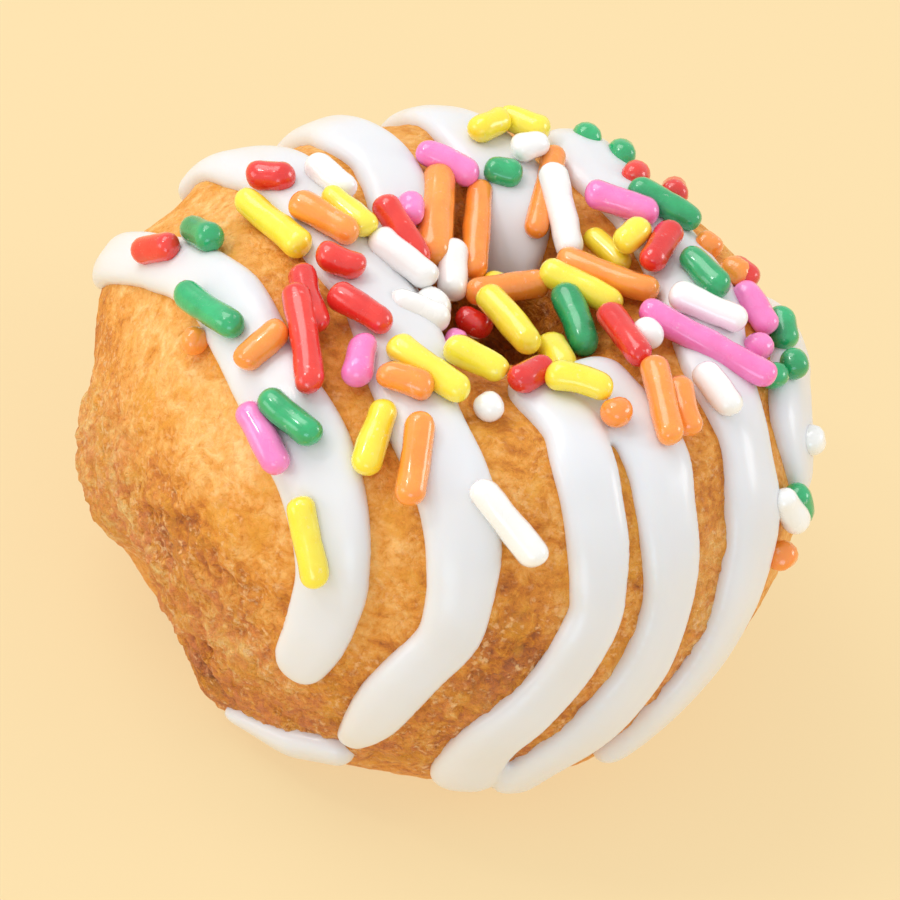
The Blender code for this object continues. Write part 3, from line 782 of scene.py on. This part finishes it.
def straight_rod(length, radius):
    """An upright rod: a blunted ball with its halves drawn apart."""
    end = min(ROD_END_SHARE * radius, length / ROD_LEAST_ENDS)
    rod = bmesh.new()
    bmesh.ops.create_uvsphere(rod, u_segments=ROD_SIDES, v_segments=ROD_RINGS, radius=1.0)
    for corner in rod.verts:
        out = math.hypot(corner.co.x, corner.co.y)
        blunted = out ** ROD_END_ROUNDNESS + abs(corner.co.z) ** ROD_END_ROUNDNESS
        reach = blunted ** (-1 / ROD_END_ROUNDNESS)
        corner.co.x *= reach * radius
        corner.co.y *= reach * radius
        corner.co.z *= reach * end
        corner.co.z += math.copysign(length / 2 - end, corner.co.z)
    long_edges = [edge for edge in rod.edges if edge.verts[0].co.z * edge.verts[1].co.z < 0]
    bmesh.ops.subdivide_edges(rod, edges=long_edges, cuts=ROD_CUTS)
    return rod


def make_uneven(rod, length, draw):
    """Taper and bend an upright rod, slant its ends and give it slight waves."""
    taper = draw.uniform(-ROD_TAPER, ROD_TAPER)
    slants = (draw.uniform(-ROD_SLANT, ROD_SLANT), draw.uniform(-ROD_SLANT, ROD_SLANT))
    bend = draw.uniform(-ROD_BEND, ROD_BEND)
    noise_place = Vector([draw.uniform(0, ROD_WOBBLE_SPAN) for _ in range(3)])
    for corner in rod.verts:
        along = 2 * corner.co.z / length
        wobble = noise.noise(corner.co / ROD_WOBBLE_SIZE + noise_place)
        swell = 1.0 + taper * along + ROD_WOBBLE * wobble
        corner.co.x *= swell
        corner.co.y *= swell
        slant = slants[0] if along > 0 else slants[1]
        corner.co.z += slant * corner.co.y * abs(along) ** 3
        corner.co.x += bend * (1.0 - along ** 2)


def make_rod(builder, tip, other_tip, radius, draw):
    """A rod of sugar from tip to tip, in a shade of its own."""
    run = other_tip - tip
    rod = straight_rod(run.length, radius)
    make_uneven(rod, run.length, draw)
    turn = run.to_track_quat("Z", "Y").to_matrix().to_4x4()
    roll = Matrix.Rotation(draw.uniform(0, 2 * math.pi), 4, "Z")
    place = Matrix.Translation(in_metres((tip + other_tip) / 2)) @ Matrix.Scale(MM, 4)
    bmesh.ops.transform(rod, matrix=place @ turn @ roll, verts=rod.verts)
    bmesh.ops.recalc_face_normals(rod, faces=rod.faces)
    tone = rod.verts.layers.float.new("tone")
    shade = draw.random()
    for corner in rod.verts:
        corner[tone] = shade
    join(builder, rod)


def lying_tips(row):
    """Both tips of a rod that lies on the ring."""
    azimuth, section, other_azimuth, other_section, lift = row
    return above_dough(azimuth, section, lift), above_dough(other_azimuth, other_section, lift)


def on_icing(place, stripes):
    """Whether a place just above the dough has icing under it."""
    for stations in stripes:
        for station in stations:
            azimuth, section, half_width = station[0]
            if (dough_point(azimuth, section) - place).length < half_width + HIDDEN_REACH:
                return True
    return False


def hidden_rods(taken):
    """Tips of the rods scattered on the icing down the back, clear of the ones already there."""
    stripes = [stripe_stations(rows, ICING_STATION, ICING_END_STATIONS) for rows in ICING_STRIPES]
    draw = random.Random(HIDDEN_SEED)
    middles = [(tip + other_tip) / 2 for tip, other_tip in taken]
    tips = []
    for _ in range(HIDDEN_DRAWS):
        azimuth = draw.uniform(*HIDDEN_AZIMUTHS)
        section = draw.uniform(*HIDDEN_SECTIONS)
        heading = draw.uniform(0.0, math.pi)
        length = draw.uniform(*HIDDEN_LENGTHS)
        east, north = dough_axes(azimuth, section)[:2]
        way = east.normalized() * math.cos(heading) + north.normalized() * math.sin(heading)
        run = way * length / 2
        middle = above_dough(azimuth, section, HIDDEN_LIFT)
        spaced = all((middle - other).length > HIDDEN_SPACING for other in middles)
        if spaced and on_icing(middle, stripes):
            middles.append(middle)
            tips.append((middle - run, middle + run))
    return tips


def rods_by_colour():
    """Tips and radius of every rod, by colour."""
    rods = {}
    for colour, rows in LYING_RODS.items():
        rods[colour] = [lying_tips(row) + (ROD_RADIUS,) for row in rows]
    taken = [rod[:2] for colour in LYING_RODS for rod in rods[colour]]
    for colour, rows in LEANING_RODS.items():
        for row in rows:
            rods[colour].append((Vector(row[:3]), Vector(row[3:6]), row[6]))
            taken.append(rods[colour][-1][:2])
    draw = random.Random(HIDDEN_COLOUR_SEED)
    for tip, other_tip in hidden_rods(taken):
        rods[draw.choice(list(LYING_RODS))].append((tip, other_tip, ROD_RADIUS))
    return rods


def make_rods():
    """One piece for each colour of rod."""
    draw = random.Random(ROD_SEED)
    pieces = []
    for colour, rods in rods_by_colour().items():
        builder = bmesh.new()
        for tip, other_tip, radius in rods:
            make_rod(builder, tip, other_tip, radius, draw)
        piece = object_from(builder, f"{colour}_sprinkles")
        piece.data.materials.append(make_rod_material(colour))
        pieces.append(piece)
    return pieces


def new_material(name):
    """A new material, with its node tree and its shader."""
    material = bpy.data.materials.new(name)
    material.use_nodes = True
    tree = material.node_tree
    return material, tree, tree.nodes["Principled BSDF"]


def object_noise(tree, pattern):
    """Noise of a pattern's size in millimetres, on the piece's own coordinates."""
    size, detail, grit, distortion = pattern
    place = tree.nodes.new("ShaderNodeTexCoord")
    texture = tree.nodes.new("ShaderNodeTexNoise")
    texture.inputs["Scale"].default_value = 1.0 / (size * MM)
    texture.inputs["Detail"].default_value = detail
    texture.inputs["Roughness"].default_value = grit
    texture.inputs["Distortion"].default_value = distortion
    tree.links.new(place.outputs["Object"], texture.inputs["Vector"])
    return texture.outputs["Fac"]


def attribute(tree, name):
    """A number stored on the mesh."""
    node = tree.nodes.new("ShaderNodeAttribute")
    node.attribute_name = name
    return node.outputs["Fac"]


def calculate(tree, operation, first, second, third=0.0):
    """One step of arithmetic on sockets or numbers."""
    node = tree.nodes.new("ShaderNodeMath")
    node.operation = operation
    for socket, value in zip(node.inputs, (first, second, third)):
        if isinstance(value, (int, float)):
            socket.default_value = value
        else:
            tree.links.new(value, socket)
    return node.outputs["Value"]


def stretch(tree, value, spread):
    """A value's range from low to high, spread to another range and held inside it."""
    low, high, to_low, to_high = spread
    node = tree.nodes.new("ShaderNodeMapRange")
    tree.links.new(value, node.inputs["Value"])
    node.inputs["From Min"].default_value = low
    node.inputs["From Max"].default_value = high
    node.inputs["To Min"].default_value = to_low
    node.inputs["To Max"].default_value = to_high
    return node.outputs["Result"]


def mix_colours(tree, share, first, second):
    """A mix of two colours, each a socket or a constant."""
    node = tree.nodes.new("ShaderNodeMix")
    node.data_type = "RGBA"
    sockets = [item for item in node.inputs if item.type == "RGBA"]
    tree.links.new(share, node.inputs[0])
    for socket, value in zip(sockets, (first, second)):
        if isinstance(value, tuple):
            socket.default_value = value
        else:
            tree.links.new(value, socket)
    return [item for item in node.outputs if item.type == "RGBA"][0]


def add_bump(tree, shader, height, finish):
    """Bump of a strength, and of a depth in millimetres."""
    strength, depth = finish
    bump = tree.nodes.new("ShaderNodeBump")
    bump.inputs["Strength"].default_value = strength
    bump.inputs["Distance"].default_value = depth * MM
    tree.links.new(height, bump.inputs["Height"])
    tree.links.new(bump.outputs["Normal"], shader.inputs["Normal"])


def from_middle(tree, pattern):
    """How far a pattern is above or below its middle."""
    return calculate(tree, "SUBTRACT", pattern, NOISE_MIDDLE)


def crust_tones(tree, tone):
    """The crust's colour at a tone of browning and painted shade."""
    ramp = tree.nodes.new("ShaderNodeValToRGB")
    ramp.color_ramp.elements.remove(ramp.color_ramp.elements[1])
    for index, (position, colour) in enumerate(CRUST_TONES):
        stop = ramp.color_ramp.elements[0] if index == 0 else ramp.color_ramp.elements.new(position)
        stop.position = position
        stop.color = colour
    tree.links.new(tone, ramp.inputs["Fac"])
    return ramp.outputs["Color"]


def make_crust_material():
    """Fried crust: pale gold to dark brown, granular, with painted shade in its hollows and folds, and
    painted peach highlights on its crumbs, which are also glossier there.
    """
    material, tree, shader = new_material("crust")
    clouds = object_noise(tree, CRUST_CLOUDS)
    blotches = object_noise(tree, CRUST_BLOTCHES)
    grains = object_noise(tree, CRUST_GRAINS)
    rough = attribute(tree, "crags")
    contrast = stretch(tree, rough, GRAIN_CONTRAST)
    relief = attribute(tree, "relief")
    # Painted shade: where the relief is low, in folds and hollows, the crust is darker, and lumps come
    # out lighter
    tone = calculate(tree, "MULTIPLY_ADD", relief, RELIEF_PAINTED_SHADE, attribute(tree, "browning_and_shade"))
    tone = calculate(tree, "MULTIPLY_ADD", from_middle(tree, clouds), CLOUDS_BROWN, tone)
    tone = calculate(tree, "MULTIPLY_ADD", from_middle(tree, blotches), BLOTCHES_BROWN, tone)
    grit = calculate(tree, "MULTIPLY", from_middle(tree, grains), contrast)
    colour = crust_tones(tree, calculate(tree, "ADD", grit, tone))
    rosy = calculate(tree, "MULTIPLY", rough, stretch(tree, blotches, ROSY_SPREAD))
    colour = mix_colours(tree, rosy, colour, ROSY_CRUST)
    amber = stretch(tree, object_noise(tree, AMBER_PATCHES), AMBER_SPREAD)
    colour = mix_colours(tree, amber, colour, AMBER_CRUST)
    # Painted highlight: spots in patches are mixed towards a pale peach colour, and the same spots are
    # made glossier
    glint_patches = stretch(tree, object_noise(tree, GLOSSY_AND_PAINTED_GLINT_PATCHES), GLINT_PATCH_SPREAD)
    gloss_and_painted_glints = stretch(tree, object_noise(tree, GLOSS_AND_PAINTED_GLINTS), GLINT_SPREAD)
    gloss_and_painted_glints = calculate(tree, "MULTIPLY", gloss_and_painted_glints, glint_patches)
    share = calculate(tree, "MULTIPLY", gloss_and_painted_glints, stretch(tree, rough, PAINTED_GLINT_SHARE))
    colour = mix_colours(tree, share, colour, CRUST_PAINTED_GLINT)
    tree.links.new(colour, shader.inputs["Base Color"])
    tree.links.new(stretch(tree, gloss_and_painted_glints, CRUST_SHEEN), shader.inputs["Roughness"])
    shader.inputs["Specular IOR Level"].default_value = 0.35
    shader.inputs["Subsurface Weight"].default_value = 0.12
    shader.inputs["Subsurface Radius"].default_value = (1.0, 0.4, 0.15)
    shader.inputs["Subsurface Scale"].default_value = 0.6 * MM
    height = calculate(tree, "MULTIPLY_ADD", grains, GRAIN_BUMP_SHARE, blotches)
    height = calculate(tree, "MULTIPLY", height, contrast)
    add_bump(tree, shader, height, CRUST_BUMP)
    return material


def make_icing_material():
    """White sugar icing, smooth and glossy, faintly cloudy."""
    material, tree, shader = new_material("icing")
    clouds = object_noise(tree, ICING_CLOUDS)
    ripples = object_noise(tree, ICING_RIPPLES)
    tree.links.new(mix_colours(tree, clouds, THIN_ICING, THICK_ICING), shader.inputs["Base Color"])
    tree.links.new(stretch(tree, ripples, ICING_SHEEN), shader.inputs["Roughness"])
    shader.inputs["Subsurface Weight"].default_value = 0.3
    shader.inputs["Subsurface Radius"].default_value = (1.0, 0.75, 0.6)
    shader.inputs["Subsurface Scale"].default_value = 0.8 * MM
    shader.inputs["Coat Weight"].default_value = 0.2
    shader.inputs["Coat Roughness"].default_value = 0.12
    add_bump(tree, shader, ripples, ICING_BUMP)
    return material


def make_rod_material(colour):
    """Coloured sugar, glossy, mottled in two tones, with frosty flecks."""
    material, tree, shader = new_material(f"{colour}_sugar")
    mottle = stretch(tree, object_noise(tree, ROD_MOTTLE), MOTTLE_SPREAD)
    share = calculate(tree, "MULTIPLY_ADD", attribute(tree, "tone"), ROD_SHADE_SHARE, mottle)
    light, deep = ROD_COLOURS[colour]
    frost = stretch(tree, object_noise(tree, ROD_FROST), FROST_SPREAD)
    base = mix_colours(tree, share, light, deep)
    tree.links.new(mix_colours(tree, frost, base, SUGAR_FROST), shader.inputs["Base Color"])
    grain = object_noise(tree, ROD_GRAIN)
    tree.links.new(stretch(tree, grain, ROD_SHEEN), shader.inputs["Roughness"])
    shader.inputs["Subsurface Weight"].default_value = 0.15
    shader.inputs["Subsurface Radius"].default_value = light[:3]
    shader.inputs["Subsurface Scale"].default_value = 0.6 * MM
    shader.inputs["Coat Weight"].default_value = 0.8
    shader.inputs["Coat Roughness"].default_value = 0.06
    add_bump(tree, shader, grain, ROD_BUMP)
    return material


def make_floor():
    """A plain pale floor under the foot, which glows so that its shadows stay light."""
    builder = bmesh.new()
    bmesh.ops.create_grid(builder, x_segments=1, y_segments=1, size=FLOOR_HALF_SIDE)
    floor = object_from(builder, "floor")
    material, _, shader = new_material("floor")
    shader.inputs["Base Color"].default_value = FLOOR_COLOUR
    shader.inputs["Roughness"].default_value = 0.9
    shader.inputs["Specular IOR Level"].default_value = 0.0
    shader.inputs["Emission Color"].default_value = FLOOR_GLOW
    shader.inputs["Emission Strength"].default_value = FLOOR_GLOW_STRENGTH
    floor.data.materials.append(material)


def add_soft_light(name, direction, size, watts, colour):
    """A square soft light that looks at the doughnut from a direction."""
    light = bpy.data.lights.new(name, "AREA")
    light.size = size
    light.energy = watts
    light.color = colour
    item = bpy.data.objects.new(name, light)
    aim = in_metres(Vector((0.0, 0.0, RING_HEIGHT)))
    back = Vector(direction).normalized()
    turn = back.to_track_quat("Z", "Y").to_matrix().to_4x4()
    item.matrix_world = Matrix.Translation(aim + back * LIGHT_DISTANCE) @ turn
    bpy.context.scene.collection.objects.link(item)


def light_scene():
    """Soft studio light, strongest from the upper left, over an even pale surrounding."""
    world = bpy.data.worlds.new("studio")
    world.use_nodes = True
    bpy.context.scene.world = world
    surrounding = world.node_tree.nodes["Background"]
    surrounding.inputs["Color"].default_value = (1.0, 1.0, 1.0, 1.0)
    surrounding.inputs["Strength"].default_value = SURROUNDING_BRIGHTNESS
    for row in LIGHTS:
        add_soft_light(*row)
    bpy.context.scene.view_settings.view_transform = "Standard"


def make_camera():
    """A long lens that looks down on the front, slightly rolled."""
    lift = math.radians(VIEW_ELEVATION)
    roll = math.radians(VIEW_ROLL)
    across = Vector((1.0, 0.0, 0.0))
    upwards = Vector((0.0, math.sin(lift), math.cos(lift)))
    back = Vector((0.0, -math.cos(lift), math.sin(lift)))
    right = math.cos(roll) * across + math.sin(roll) * upwards
    up = math.cos(roll) * upwards - math.sin(roll) * across
    aim = Vector((0.0, 0.0, RING_HEIGHT)) + (AIM_PIXELS[0] * right - AIM_PIXELS[1] * up) * VIEW_PIXEL
    eye = in_metres(aim + back * VIEW_DISTANCE)
    camera = bpy.data.objects.new("camera", bpy.data.cameras.new("camera"))
    camera.matrix_world = Matrix.Translation(eye) @ Matrix((right, up, back)).transposed().to_4x4()
    camera.data.sensor_width = SENSOR
    camera.data.lens = SENSOR * VIEW_DISTANCE / (VIEW_PIXEL * IMAGE_SIDE)
    camera.data.clip_start, camera.data.clip_end = CLIP_RANGE
    bpy.context.scene.collection.objects.link(camera)
    bpy.context.scene.camera = camera


def main():
    """Make the pieces, tie each to the frame, and add the floor, the light and the camera."""
    pieces = [(make_crust(), "dough"), (make_icing(), "icing")]
    pieces += [(piece, piece.name) for piece in make_rods()]
    for piece, slot in pieces:
        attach(piece, "root")
        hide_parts("doughnut")
    make_floor()
    light_scene()
    make_camera()


main()
